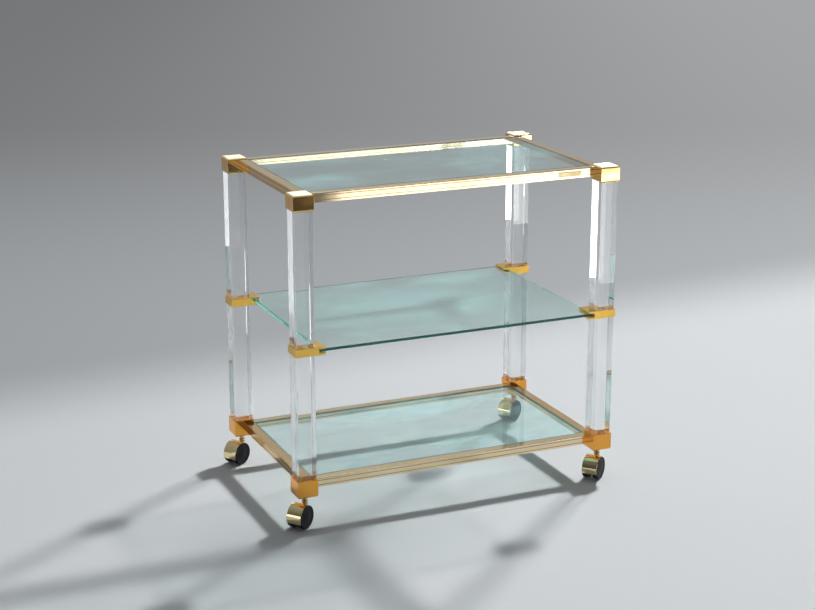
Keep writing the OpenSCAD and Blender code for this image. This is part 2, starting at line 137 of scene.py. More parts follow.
class Wire:
    """A number in a material's nodes, on which sums are written as in Python."""

    def __init__(self, nodes, socket):
        self.nodes, self.socket = nodes, socket

    def calc(self, operation, *values):
        return self.nodes.node(
            "ShaderNodeMath", {"operation": operation}, dict(enumerate(values))
        )

    def __add__(self, other):
        return self.calc("ADD", self, other)

    def __sub__(self, other):
        return self.calc("SUBTRACT", self, other)

    def __rsub__(self, other):
        return self.calc("SUBTRACT", other, self)

    def __mul__(self, other):
        return self.calc("MULTIPLY", self, other)

    def __gt__(self, other):
        return self.calc("GREATER_THAN", self, other)

    def __abs__(self):
        return self.calc("ABSOLUTE", self)

    __radd__ = __add__
    __rmul__ = __mul__

    def upto(self, other):
        return self.calc("MINIMUM", self, other)

    def atleast(self, other):
        return self.calc("MAXIMUM", self, other)

    def between(self, low, high):
        """0 below low, 1 above high and a smooth rise from one to the other."""
        return self.nodes.node(
            "ShaderNodeMapRange", {"interpolation_type": "SMOOTHSTEP"},
            {"Value": self, "From Min": low, "From Max": high},
        )


class Nodes:
    """The nodes of one material, of a lamp or of the room."""

    def __init__(self, tree):
        self.tree = tree
        tree.nodes.clear()

    def node(self, kind, settings=None, sockets=None, output=0):
        """Adds a node, sets its settings, then its sockets' values or links."""
        node = self.tree.nodes.new(kind)
        for name, value in (settings or {}).items():
            setattr(node, name, value)
        for name, value in (sockets or {}).items():
            if isinstance(value, Wire):
                self.tree.links.new(value.socket, node.inputs[name])
            else:
                if node.inputs[name].type == "RGBA" and len(value) == 3:
                    value = (*value, 1)
                node.inputs[name].default_value = value
        return Wire(self, node.outputs[output])

    def place(self, scale=(1, 1, 1)):
        """The object's own coordinates in metres, stretched by a scale."""
        own = self.node("ShaderNodeTexCoord", output="Object")
        return self.node("ShaderNodeMapping", {}, {"Vector": own, "Scale": scale})

    def axes(self):
        """The object's own X, Y and Z in millimetres."""
        split = self.node("ShaderNodeSeparateXYZ", {}, {"Vector": self.place((1000,) * 3)})
        outputs = split.socket.node.outputs
        return [Wire(self, outputs[i]) for i in range(3)]

    def noise(self, scale, stretch=(1, 1, 1), detail=3, roughness=0.5):
        """Noise from 0 to 1 with a number of waves to the metre."""
        return self.node("ShaderNodeTexNoise", {}, {
            "Vector": self.place(stretch), "Scale": scale,
            "Detail": detail, "Roughness": roughness,
        })

    def blend(self, factor, first, second):
        """A colour between two others."""
        return self.node(
            "ShaderNodeMix", {"data_type": "RGBA"}, {0: factor, 6: first, 7: second}, output=2
        )

    def bump(self, height, distance, strength=1.0, normal=None):
        """A fine relief of a depth in metres, laid over another one if there is one."""
        sockets = {"Height": height, "Distance": distance, "Strength": strength}
        if normal:
            sockets["Normal"] = normal
        return self.node("ShaderNodeBump", {}, sockets)

    def finish(self, kind, **sockets):
        """Ends the tree in a surface shader and, if there is one, a volume shader."""
        end = self.tree.nodes.new(kind)
        for name, wire in sockets.items():
            self.tree.links.new(wire.socket, end.inputs[name.capitalize()])


def new_material(name):
    """An empty material and its nodes."""
    material = bpy.data.materials.new(name)
    material.use_nodes = True
    return material, Nodes(material.node_tree)


def gold(name, colour, shade, roughness, waviness, scratches=0.02, satin=None):
    """Plated brass: polished by hand, so it is a little wavy and has fine hairlines."""
    material, n = new_material(name)
    cloud = n.noise(38, detail=4)
    hairlines = n.noise(900, stretch=(1, 1, 0.06), detail=2) * 0.5 + n.noise(
        1100, stretch=(0.05, 1, 1), detail=2
    ) * 0.5
    wear = cloud.between(0.42, 0.7)
    skin = n.bump(n.noise(55, detail=1), waviness)
    skin = n.bump(hairlines, 0.00001, scratches * 10, skin)
    tone = n.blend(wear * 0.6, colour, shade)
    polish = roughness + wear * 0.05 + (hairlines > 0.62) * scratches
    if satin:
        low, high, pale = satin
        # The top turns to satin and is painted paler: a painted highlight
        satin_and_highlight = n.axes()[2].between(low, high)
        tone = n.blend(satin_and_highlight, tone, pale)
        polish = polish + satin_and_highlight * 0.4
    shader = n.node("ShaderNodeBsdfPrincipled", {}, {
        "Base Color": tone, "Metallic": 1.0, "Roughness": polish, "Normal": skin,
    })
    n.finish("ShaderNodeOutputMaterial", surface=shader)
    return material


POLISHED_GOLD = gold("polished_gold", (0.96, 0.45, 0.085), (0.90, 0.39, 0.06), 0.06, 0.00006)

FOOT, RIM = 65, 103
UNDER_SOCKET = 12
FOOT_BEVEL, ROUNDED = 3, 1
for corner in CORNERS:
    bm = solid_box((0, 0, FOOT), (BLOCK, BLOCK, RIM))
    sink_socket(bm, UP, WALL, RIM - FOOT - UNDER_SOCKET)
    soften(bm, list(face_towards(bm, -UP).edges), FOOT_BEVEL, segments=1)
    soften(bm, corner_edges(bm), ROUNDED)
    make_piece(
        bm, f"socket_block_{corner}", at_corner(corner), "frame",
        POLISHED_GOLD, [f"bottom_corner_{corner}"],
    )

# ---------------------------------------------------------------------------
# Caster stems
# Turned steel, brass plated: a thread in the block, a neck, a collar for the
# spanner and the pin on which the hood swivels.
# ---------------------------------------------------------------------------


def at_caster(corner):
    """Place for a caster drawn in millimetres, with its axle towards -X of the stem."""
    side_x, side_y, turn = CORNERS[corner]
    x = MIDDLE[0] + side_x * (FRAME[0] - BLOCK) / 2
    y = MIDDLE[1] + side_y * (FRAME[1] - BLOCK) / 2
    return (
        Matrix.Scale(MM, 4)
        @ Matrix.Translation((x, y, 0))
        @ Matrix.Rotation(math.radians(turn), 4, "Z")
    )


def turned(profile, steps=64):
    """A turned solid: pairs of radius and height are joined up and spun about Z."""
    bm = bmesh.new()
    verts = [bm.verts.new((radius, 0, height)) for radius, height in profile]
    edges = [bm.edges.new(pair) for pair in zip(verts, verts[1:])]
    bmesh.ops.spin(
        bm, geom=verts + edges, cent=(0, 0, 0), axis=UP, dvec=(0, 0, 0),
        angle=2 * math.pi, steps=steps, use_merge=True, use_duplicate=False,
    )
    bmesh.ops.remove_doubles(bm, verts=bm.verts, dist=0.001)
    bmesh.ops.recalc_face_normals(bm, faces=bm.faces)
    return bm


STEM_GOLD = gold("stem_gold", (0.80, 0.62, 0.36), (0.66, 0.50, 0.28), 0.2, 0.00002, 0.06)
for corner in CORNERS:
    bm = turned([
        (0, 22.2), (2.6, 22.2), (3, 22.6), (3, 47.2), (3.9, 47.2), (4.2, 47.5), (4.2, 49),
        (5.9, 49), (6.5, 49.6), (6.5, 53.4), (5.9, 54), (4.2, 54), (4.2, 64.2), (3.5, 65),
        (4, 65.4), (4, 75.4), (3.4, 76), (0, 76),
    ])
    make_piece(
        bm, f"turned_stem_{corner}", at_caster(corner), "frame",
        STEM_GOLD, [f"stem_{corner}"],
    )

# ---------------------------------------------------------------------------
# Caster hoods
# Cast and plated pale gold, bright. A shell over both wheels, a neck to the swivel
# boss and a web between the wheels that carries the axle.
# ---------------------------------------------------------------------------

HOOD_GOLD = gold("hood_gold", (0.99, 0.84, 0.49), (0.92, 0.72, 0.34), 0.05, 0.00014, 0.03)
TRAIL, AXLE_Z = 19, 25
HOOD_IN, HOOD_OUT, HOOD_EDGE = 25.5, 26.7, 0.5
HOOD_WIDTH, NECK_WIDTH = 34, 14
HOOD_FROM, HOOD_TO, NECK_TO = -110, 13, 45.4
WEB_R, WEB_LOW, WEB_THICK, WEB_EDGE = 26.1, 8, 9, 0.6


def bent_bar(width, start, end, steps):
    """A flat bar with rounded edges, bent round the axle. Angles count from the top."""
    bm = bmesh.new()
    half = width / 2
    corners = [(-half, HOOD_IN), (half, HOOD_IN), (half, HOOD_OUT), (-half, HOOD_OUT)]
    bm.faces.new([bm.verts.new((-TRAIL, y, AXLE_Z + r)) for y, r in corners])
    bmesh.ops.bevel(
        bm, geom=list(bm.verts), offset=HOOD_EDGE, offset_type="OFFSET", segments=3,
        profile=0.5, affect="VERTICES", material=-1,
    )
    bmesh.ops.rotate(
        bm, cent=(-TRAIL, 0, AXLE_Z), verts=bm.verts,
        matrix=Matrix.Rotation(math.radians(start), 3, "Y"),
    )
    bmesh.ops.spin(
        bm, geom=list(bm.faces), cent=(-TRAIL, 0, AXLE_Z), axis=(0, 1, 0), dvec=(0, 0, 0),
        angle=math.radians(end - start), steps=steps, use_merge=False, use_duplicate=False,
    )
    return bm


def join(bm, *parts):
    """Puts other bmeshes into the first one."""
    for part in parts:
        mesh = bpy.data.meshes.new("part")
        part.to_mesh(mesh)
        part.free()
        bm.from_mesh(mesh)
        bpy.data.meshes.remove(mesh)


for corner in CORNERS:
    bm = bent_bar(HOOD_WIDTH, HOOD_FROM, HOOD_TO, 40)
    neck = bent_bar(NECK_WIDTH, 0, NECK_TO, 14)
    # The web is a disc, cut off below the axle and along the swivel boss
    web = bmesh.new()
    bmesh.ops.create_circle(web, cap_ends=True, radius=WEB_R, segments=96)
    for point, normal in (((0, -WEB_LOW, 0), (0, -1, 0)), ((TRAIL, 0, 0), (1, 0, 0))):
        bmesh.ops.bisect_plane(
            web, geom=list(web.verts) + list(web.edges) + list(web.faces),
            plane_co=point, plane_no=normal, clear_outer=True,
        )
    grown = bmesh.ops.extrude_face_region(web, geom=list(web.faces))["geom"]
    bmesh.ops.translate(
        web, vec=(0, 0, WEB_THICK),
        verts=[g for g in grown if isinstance(g, bmesh.types.BMVert)],
    )
    soften(web, corner_edges(web, degrees=40), WEB_EDGE, 2)
    on_edge = Matrix.Rotation(math.pi / 2, 4, "X")
    bmesh.ops.transform(
        web, verts=web.verts,
        matrix=Matrix.Translation((-TRAIL, WEB_THICK / 2, AXLE_Z)) @ on_edge,
    )
    boss = turned([
        (0, 22), (4.3, 22), (5, 22.7), (5, 45.6), (6.5, 45.6), (7, 46), (7, 46.6),
        (6.6, 47), (0, 47),
    ], 48)
    join(bm, neck, web, boss)
    make_piece(
        bm, f"cast_hood_{corner}", at_caster(corner), f"caster_{corner}",
        HOOD_GOLD, [f"hood_{corner}"],
    )

# ---------------------------------------------------------------------------
# Caster axles
# A plain steel pin, brass plated and pressed into the hood's web. Both wheels
# turn on it.
# ---------------------------------------------------------------------------


def coat(node, material):
    """Gives a CAD node's own mesh a finish."""
    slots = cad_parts[node].data.materials
    slots.clear()
    slots.append(material)


for corner in CORNERS:
    coat(f"axle_{corner}", STEM_GOLD)

# ---------------------------------------------------------------------------
# Caster wheels
# Twin wheels moulded in black nylon, with a rounded tread, a dished outer face
# with a raised centre, and a hollow with ribs on the inner side.
# ---------------------------------------------------------------------------


def moulded_black():
    material, n = new_material("black_nylon")
    grain = n.noise(2600, detail=2)
    dust = n.noise(90, detail=5).between(0.5, 0.8)
    shader = n.node("ShaderNodeBsdfPrincipled", {}, {
        "Base Color": n.blend(dust * 0.5, (0.004, 0.004, 0.005), (0.016, 0.016, 0.017)),
        "Specular IOR Level": 0.25,
        "Roughness": 0.42 + dust * 0.12 + grain * 0.06,
        "Normal": n.bump(grain, 0.00003, 0.6),
    })
    n.finish("ShaderNodeOutputMaterial", surface=shader)
    return material


BLACK_NYLON = moulded_black()
# The room between the twins, and the ribs inside each
SPACE = 11
RIBS, RIB_FROM, RIB_TO = 6, (6.5, -0.6, 1.2), (22, 0.6, 8.4)


def rounded_corner(radius, height, turn, by):
    """Four points round a corner of a turned profile, turning from one side to the next."""
    return [
        (
            radius + by * math.cos(math.radians(turn + step)),
            height + by * math.sin(math.radians(turn + step)),
        )
        for step in (0, 30, 60, 90)
    ]


for corner in CORNERS:
    for letter, side in (("a", -1), ("b", 1)):
        # From the hub's bore out over the tread and in over the dished face. The bore's
        # far end, behind the axle, is open.
        bm = turned(
            [(3.06, 9), (3.06, -0.4), (3.4, -0.7), (6.7, -0.7), (7, -0.4), (7, 7.6), (7.4, 8)]
            + [(21.1, 8), (21.5, 7.6), (21.5, 0.4), (21.9, 0)]
            + rounded_corner(23.4, 1.6, -90, 1.6)
            + [(25, 5.6), (24.7, 6), (24.7, 7), (25, 7.4)]
            + rounded_corner(23.4, 11.4, 0, 1.6)
            + [(22.9, 13), (22.6, 12.8), (22.3, 12.3), (21.6, 12.2), (17.6, 12.1), (17.2, 11.8)]
            + [(16.8, 11.8), (16.4, 12.1), (8.4, 12.3), (8, 12.6), (7.4, 12.8), (0, 12.9)],
            96,
        )
        for i in range(RIBS):
            rib = solid_box(RIB_FROM, RIB_TO)
            bmesh.ops.rotate(
                rib, cent=(0, 0, 0), verts=rib.verts,
                matrix=Matrix.Rotation(math.radians(360 / RIBS * i), 3, "Z"),
            )
            join(bm, rib)
        place = (
            at_caster(corner)
            @ Matrix.Translation((-TRAIL, side * SPACE / 2, AXLE_Z))
            @ Matrix.Rotation(math.radians(-90 * side), 4, "X")
        )
        make_piece(
            bm, f"moulded_wheel_{letter}_{corner}", place, f"wheel_{letter}_{corner}",
            BLACK_NYLON, [f"wheel_{letter}_{corner}"],
        )

# ---------------------------------------------------------------------------
# Posts
# Clear cast acrylic, 40 mm square, sawn, flame polished and bonded into the corner
# blocks. The long edges have small chamfers.
# ---------------------------------------------------------------------------


def see_through(name, colour, ior, roughness, shadow_colour, openness, volume=None, over=None):
    """A clear solid. Light reaches through it on other things, as far as openness says."""
    material, n = new_material(name)
    shader = n.node("ShaderNodeBsdfPrincipled", {}, {
        "Base Color": colour,
        "Transmission Weight": 1.0,
        "IOR": ior,
        "Roughness": roughness(n),
    })
    lit_by = n.node("ShaderNodeLightPath", output="Is Shadow Ray") + n.node(
        "ShaderNodeLightPath", output="Is Diffuse Ray"
    )
    clear = n.node("ShaderNodeBsdfTransparent", {}, {"Color": shadow_colour})
    both = n.node("ShaderNodeMixShader", {}, {0: lit_by * openness(n), 1: shader, 2: clear})
    if over:
        mask, cover = over(n)
        both = n.node("ShaderNodeMixShader", {}, {0: mask, 1: both, 2: cover})
    ends = {"surface": both}
    if volume:
        tint, density = volume
        ends["volume"] = n.node(
            "ShaderNodeVolumeAbsorption", {}, {"Color": tint, "Density": density}
        )
    n.finish("ShaderNodeOutputMaterial", **ends)
    return material


def post_openness(n):
    """Less light comes through beside a post's long edges than through its middle."""
    x, y, _ = n.axes()
    across = abs(abs(x - MIDDLE[0]) - (FRAME[0] - BLOCK) / 2)
    along = abs(abs(y - MIDDLE[1]) - (FRAME[1] - BLOCK) / 2)
    beside_edge = across.upto(along).between(12, 16)
    return 0.94 - beside_edge * 0.32


def bonded_ends(n):
    """Where a post is bonded into a block or held in a clip, their gold shows through. It lies
    on the post's own faces, with painted glints.
    """
    cap_rim = 671.5
    clip_middle, clip_half = 380, 8.4
    height = n.axes()[2]
    in_clip = clip_half - abs(height - clip_middle) > 0
    inside = (height > cap_rim) + (RIM - height > 0) + in_clip
    # Pale and orange patches are painted glints
    painted_glints = n.noise(75).between(0.45, 0.6)
    gold_behind = n.node("ShaderNodeBsdfPrincipled", {}, {
        "Base Color": n.blend(painted_glints, (1.0, 0.93, 0.80), (0.86, 0.50, 0.18)),
        "Metallic": 0.7,
        "Roughness": 0.28,
    })
    return inside, gold_behind


CLEAR_ACRYLIC = see_through(
    "clear_acrylic", (0.985, 0.99, 0.992), 1.49,
    lambda n: n.noise(30, detail=3).between(0.5, 0.9) * 0.03,
    (0.96, 0.965, 0.97), post_openness, over=bonded_ends,
)
for corner in CORNERS:
    coat(f"post_{corner}", CLEAR_ACRYLIC)

# ---------------------------------------------------------------------------
# Shelf clips
# Machined brass, plated a rich yellow gold. Each slides on its post, and the slot
# at its end holds a corner of the middle pane.
# ---------------------------------------------------------------------------

YELLOW_GOLD = gold("yellow_gold", (0.97, 0.61, 0.12), (0.93, 0.54, 0.09), 0.12, 0.00005)
CLIP_LENGTH, CLIP_LOW, CLIP_HIGH = 65, 371.5, 388.5
SLOT_FROM, SLOT_LOW, SLOT_HIGH = 51.5, 376, 384.4
# The cuts leave four spare corners on straight edges. At them the bevel's overlap
# guard shrinks this to nothing, so the clips' edges are sharp.
CLIP_EDGE = 0.7
CLIP_SIDE = [
    (0, CLIP_LOW), (CLIP_LENGTH, CLIP_LOW), (CLIP_LENGTH, SLOT_LOW), (SLOT_FROM, SLOT_LOW),
    (SLOT_FROM, SLOT_HIGH), (CLIP_LENGTH, SLOT_HIGH), (CLIP_LENGTH, CLIP_HIGH), (0, CLIP_HIGH),
]
for corner in CORNERS:
    bm = bmesh.new()
    side = bm.faces.new([bm.verts.new((x, 0, z)) for x, z in CLIP_SIDE])
    grown = bmesh.ops.extrude_face_region(bm, geom=[side])["geom"]
    bmesh.ops.translate(
        bm, vec=(0, BLOCK, 0), verts=[g for g in grown if isinstance(g, bmesh.types.BMVert)]
    )
    bmesh.ops.recalc_face_normals(bm, faces=bm.faces)
    # The square hole for the post: cut round it, take out its lids and wall it
    near, far = WALL, BLOCK - WALL
    for at, normal in (
        ((near, 0, 0), (1, 0, 0)), ((far, 0, 0), (1, 0, 0)),
        ((0, near, 0), (0, 1, 0)), ((0, far, 0), (0, 1, 0)),
    ):
        bmesh.ops.bisect_plane(
            bm, geom=list(bm.verts) + list(bm.edges) + list(bm.faces),
            plane_co=at, plane_no=normal,
        )
    lids = [
        f for f in bm.faces if abs(f.normal.z) > 0.9
        and near < f.calc_center_median().x < far and near < f.calc_center_median().y < far
    ]
    rims = [e for f in lids for e in f.edges]
    bmesh.ops.delete(bm, geom=lids, context="FACES_ONLY")
    bmesh.ops.bridge_loops(bm, edges=rims)
    bmesh.ops.dissolve_limit(
        bm, angle_limit=math.radians(1), verts=bm.verts, edges=bm.edges, delimit=set()
    )
    bmesh.ops.recalc_face_normals(bm, faces=bm.faces)
    soften(bm, corner_edges(bm), CLIP_EDGE)
    make_piece(
        bm, f"slotted_clip_{corner}", at_corner(corner), "frame",
        YELLOW_GOLD, [f"clip_{corner}"],
    )

# ---------------------------------------------------------------------------
# Clip pads and clip screws
# White nylon pads lie in the slots under and behind the pane. A headless steel
# screw behind each pad locks its clip on the post.
# ---------------------------------------------------------------------------


def plain_finish(name, first, second, roughness, metallic=0.0):
    """A finish with clouding in its colour and roughness, and a fine grain."""
    material, n = new_material(name)
    cloud = n.noise(120, detail=4)
    shader = n.node("ShaderNodeBsdfPrincipled", {}, {
        "Base Color": n.blend(cloud, first, second),
        "Metallic": metallic,
        "Roughness": roughness + cloud * 0.1,
        "Normal": n.bump(n.noise(1440, detail=2), 0.00002),
    })
    n.finish("ShaderNodeOutputMaterial", surface=shader)
    return material


WHITE_NYLON = plain_finish("white_nylon", (0.86, 0.84, 0.78), (0.78, 0.76, 0.70), 0.45)
STEEL = plain_finish("steel", (0.62, 0.62, 0.64), (0.50, 0.50, 0.52), 0.28, 1.0)
coat("clip_pads", WHITE_NYLON)
coat("clip_screws", STEEL)

# ---------------------------------------------------------------------------
# Top corner blocks
# Like the bottom ones, but closed and bevelled on top, with a bevelled lip round
# the socket below.
# ---------------------------------------------------------------------------

CAP_LOW, CAP_HIGH = 671, 705
# The lip's 0.8 mm wall holds the rounding of the edges to 0.4
CAP_THICK, CAP_BEVEL, CAP_EDGE = 6, 3, 0.5
LIP, LIP_IN = 3.5, 1.6
# The heights between which the polish turns to the satin of the worn top, whose colour is also
# painted paler there as a painted highlight
SATIN_FROM, SATIN_TO = 701.8, 704.6
CAP_GOLD = gold(
    "capped_gold", (0.96, 0.62, 0.24), (0.90, 0.53, 0.16), 0.06, 0.00006,
    satin=(SATIN_FROM, SATIN_TO, (0.99, 0.86, 0.59)),
)
for corner in CORNERS:
    bm = solid_box((0, 0, CAP_LOW), (BLOCK, BLOCK, CAP_HIGH))
    bmesh.ops.bisect_plane(
        bm, geom=list(bm.verts) + list(bm.edges) + list(bm.faces),
        plane_co=(0, 0, CAP_LOW + LIP), plane_no=(0, 0, 1),
    )
    under = face_towards(bm, -UP)
    middle = Matrix.Translation((BLOCK / 2, BLOCK / 2, 0))
    shrink = (BLOCK - 2 * LIP_IN) / BLOCK
    bmesh.ops.transform(
        bm, matrix=middle @ Matrix.Diagonal((shrink, shrink, 1, 1)) @ middle.inverted(),
        verts=under.verts,
    )
    sink_socket(bm, -UP, WALL - LIP_IN, CAP_HIGH - CAP_LOW - CAP_THICK)
    soften(bm, list(face_towards(bm, UP).edges), CAP_BEVEL, segments=1)
    soften(bm, corner_edges(bm, lambda e: e.calc_length() > 10, 15), CAP_EDGE)
    make_piece(
        bm, f"cap_block_{corner}", at_corner(corner), "frame",
        CAP_GOLD, [f"top_corner_{corner}"],
    )

# ---------------------------------------------------------------------------
# Rails
# Extruded aluminium, pale gold anodised, with a satin grain along its length. Two
# fine grooves border a plain band, and a ledge inside carries the pane.
# ---------------------------------------------------------------------------

# The middles of the upper and lower rails, and the grooves' distance from them
TOP_MIDDLE, BOTTOM_MIDDLE, GROOVE = 691.5, 85.5, 4.9


def satin_rail(name, along_x):
    """Painted shade darkens the grooves on both sides of a rail's middle, which are also
    rougher.
    """
    material, n = new_material(name)
    stretch = (0.012, 1, 1) if along_x else (1, 0.012, 1)
    grain = n.noise(2400, stretch=stretch, detail=4, roughness=0.6)
    streaks = n.noise(300, stretch=stretch, detail=2)
    cloud = n.noise(14, detail=3).between(0.35, 0.75)
    height = n.axes()[2]
    from_middle = abs(height - TOP_MIDDLE).upto(abs(height - BOTTOM_MIDDLE))
    from_groove = abs(from_middle - GROOVE)
    # Painted shade in the grooves: near them the colour turns dark brown
    groove_shade = 1 - from_groove.between(0.4, 1.0)
    # The short rails along the sides are painted deeper and darker than the long ones: painted
    # shade
    light, deep = ((0.97, 0.80, 0.53), (0.89, 0.68, 0.41)) if along_x else (
        (0.92, 0.67, 0.37), (0.80, 0.53, 0.25)
    )
    tone = n.blend(streaks * 0.6 + cloud * 0.4, light, deep)
    shader = n.node("ShaderNodeBsdfPrincipled", {}, {
        "Base Color": n.blend(groove_shade * 0.68, tone, (0.26, 0.16, 0.06)),
        "Metallic": 1.0,
        "Roughness": 0.06 + grain * 0.07 + cloud * 0.03 + groove_shade * 0.08,
        "Normal": n.bump(grain, 0.000006, 0.5),
    })
    n.finish("ShaderNodeOutputMaterial", surface=shader)
    return material


SATIN_ALONG_X = satin_rail("satin_gold_along_x", True)
SATIN_ALONG_Y = satin_rail("satin_gold_along_y", False)
for level in ("top", "bottom"):
    for side in ("front", "back"):
        coat(f"{level}_rail_{side}", SATIN_ALONG_X)
    for side in ("left", "right"):
        coat(f"{level}_rail_{side}", SATIN_ALONG_Y)
    coat(f"{level}_rail_screws", STEEL)

# ---------------------------------------------------------------------------
# Panes and glazing strips
# Three panes of 6 mm float glass with ground and polished bevels. The top and
# bottom ones lie on clear strips on the rails' ledges, the middle one in the clips.
# ---------------------------------------------------------------------------

# Half the length and half the depth of the middle pane, and of the two framed ones
BARE_PANE = (317.5, 223)
FRAMED_PANE = (324.5, 179.5)
# The middle pane's height, and the width of the ground edge
SHELF_HEIGHT, GROUND = 381, 0.75


def green_edges(n):
    """Light inside the pane comes out green at its ground edges. Its faces are smeared."""
    x, y, z = n.axes()
    x, y = abs(x - MIDDLE[0]), abs(y - MIDDLE[1])
    framed = abs(z - SHELF_HEIGHT) > 10
    short_edge = x - framed * (FRAMED_PANE[0] - BARE_PANE[0]) > BARE_PANE[0] - GROUND
    long_edge = y + framed * (BARE_PANE[1] - FRAMED_PANE[1]) > BARE_PANE[1] - GROUND
    solid = n.node("ShaderNodeBsdfPrincipled", {}, {
        "Base Color": n.blend(n.noise(60), (0.004, 0.085, 0.07), (0.008, 0.12, 0.10)),
        "Roughness": 0.1,
    })
    glow = n.node("ShaderNodeBsdfTranslucent", {}, {"Color": (0.22, 0.88, 0.74)})
    # The short edges take more glow than the long ones, which stay dark green: a painted
    # highlight and painted shade
    rim = n.node("ShaderNodeMixShader", {}, {0: short_edge * 0.6 + 0.06, 1: solid, 2: glow})
    film = n.node("ShaderNodeBsdfPrincipled", {}, {
        "Base Color": (0.50, 0.95, 0.95), "Roughness": 0.7,
    })
    edge = short_edge.atleast(long_edge)
    smears = n.noise(4, stretch=(1, 1.7, 1), detail=9, roughness=0.62).between(0.42, 0.72)
    cover = n.node("ShaderNodeMixShader", {}, {0: edge, 1: film, 2: rim})
    # The middle pane is hazy away from its edges, under more of the pale teal film
    middle = (1 - x.between(40, 330)) * (1 - y.between(20, 225))
    haze = smears * 0.13 + (1 - framed) * middle * 0.12
    return edge.atleast(haze), cover


GREEN_GLASS = see_through(
    "green_glass", (0.86, 0.99, 0.97), 1.52,
    lambda n: n.noise(9, detail=5).between(0.55, 0.8) * 0.012,
    (1.0, 1.0, 1.0), lambda n: 0.98, volume=((0.0, 0.80, 0.74), 5.0), over=green_edges,
)
CLEAR_STRIP = see_through(
    "clear_strip", (0.9, 0.92, 0.92), 1.46, lambda n: 0.15 + n.noise(200) * 0.1,
    (0.9, 0.92, 0.92), lambda n: 0.8,
)
for level in ("top", "middle", "bottom"):
    coat(f"{level}_glass", GREEN_GLASS)
for level in ("top", "bottom"):
    coat(f"{level}_glazing_strip", CLEAR_STRIP)

# ---------------------------------------------------------------------------
# Plate
# A small bare plate of thin brushed brass, stuck on the front top rail's band.
# ---------------------------------------------------------------------------


def brushed_brass():
    material, n = new_material("brass_plate")
    brush = n.noise(1500, stretch=(0.03, 1, 1), detail=3)
    age = n.noise(60, detail=4).between(0.4, 0.7)
    shader = n.node("ShaderNodeBsdfPrincipled", {}, {
        "Base Color": n.blend(age, (0.56, 0.47, 0.26), (0.46, 0.37, 0.19)),
        "Metallic": 1.0,
        "Roughness": 0.2 + brush * 0.15,
        "Normal": n.bump(brush, 0.00001, 0.5),
    })
    n.finish("ShaderNodeOutputMaterial", surface=shader)
    return material


PLATE_ROUND, BORDER, SUNK = 0.8, 0.7, 0.12
low, high = (Vector(c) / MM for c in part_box("name_plate"))
bm = solid_box(low, high)
through = [e for e in bm.edges if abs((e.verts[0].co - e.verts[1].co).y) > 0.1]
soften(bm, through, PLATE_ROUND, 4)
front = face_towards(bm, Vector((0, -1, 0)))
bmesh.ops.inset_region(bm, faces=[front], thickness=BORDER, use_even_offset=True)
bmesh.ops.inset_region(bm, faces=[front], thickness=SUNK, depth=-SUNK, use_even_offset=True)
make_piece(
    bm, "bare_plate", Matrix.Scale(MM, 4), "frame", brushed_brass(),
    ["name_plate"], smooth=False,
)

# ---------------------------------------------------------------------------
# Floor
# A pale studio floor of matt paper, painted a little lighter on the right. It turns to a
# grey backdrop of painted light behind the trolley, and the backdrop to the tone of the room.
# ---------------------------------------------------------------------------


def stage_sheet(bm, name, material):
    """Finishes a bmesh as a piece of the studio, which isn't part of the trolley."""
    mesh = bpy.data.meshes.new(name)
    bm.to_mesh(mesh)
    bm.free()
    mesh.materials.append(material)
    sheet = bpy.data.objects.new(name, mesh)
    bpy.context.scene.collection.objects.link(sheet)
    return sheet


FLOOR_REACH, BELOW_WHEELS = 40, 0.0002
bm = bmesh.new()
bmesh.ops.create_grid(bm, x_segments=1, y_segments=1, size=FLOOR_REACH)
bmesh.ops.translate(bm, vec=(0, 0, -BELOW_WHEELS), verts=bm.verts)
material, n = new_material("floor_paper")
x, y, _ = n.axes()
# Painted light: the floor is a little lighter towards the right
shade = n.blend(x.between(-1200, 1200), (0.492, 0.514, 0.534), (0.525, 0.55, 0.57))
shader = n.node("ShaderNodeBsdfPrincipled", {}, {
    "Base Color": shade,
    "Roughness": 0.75 + n.noise(40) * 0.1,
    "Normal": n.bump(n.noise(500, detail=3), 0.00005),
})
# Far off, the floor turns to a grey backdrop of painted light, which glows lighter on the right
# and nearer
distance = y + x * 0.44
nearer = 1 - distance.between(1200, 5000)
rightwards = (x - y * 0.45).between(-3200, 3200)
left = n.blend(nearer, (0.180, 0.186, 0.192), (0.290, 0.305, 0.318))
right = n.blend(nearer, (0.375, 0.382, 0.392), (0.500, 0.520, 0.535))
painted_backdrop = n.node("ShaderNodeEmission", {}, {"Color": n.blend(rightwards, left, right)})
turn = (y - x * 0.08 - 900).between(-330, 260)
both = n.node("ShaderNodeMixShader", {}, {0: turn, 1: shader, 2: painted_backdrop})
# From 12.6 m to 33 m off it takes on the room's own tone, for a soft horizon
far = (x * x + y * y).between(1.6e8, 1.1e9)
room = n.node("ShaderNodeEmission", {}, {"Color": (0.272, 0.277, 0.280)})
both = n.node("ShaderNodeMixShader", {}, {0: far, 1: both, 2: room})
n.finish("ShaderNodeOutputMaterial", surface=both)
stage_sheet(bm, "floor", material)

# ---------------------------------------------------------------------------
# Light
# The key lamp at the back right throws the shadows and a soft box overhead fills
# them. White cards outside the picture are only mirrored in the gold and the posts.
# ---------------------------------------------------------------------------


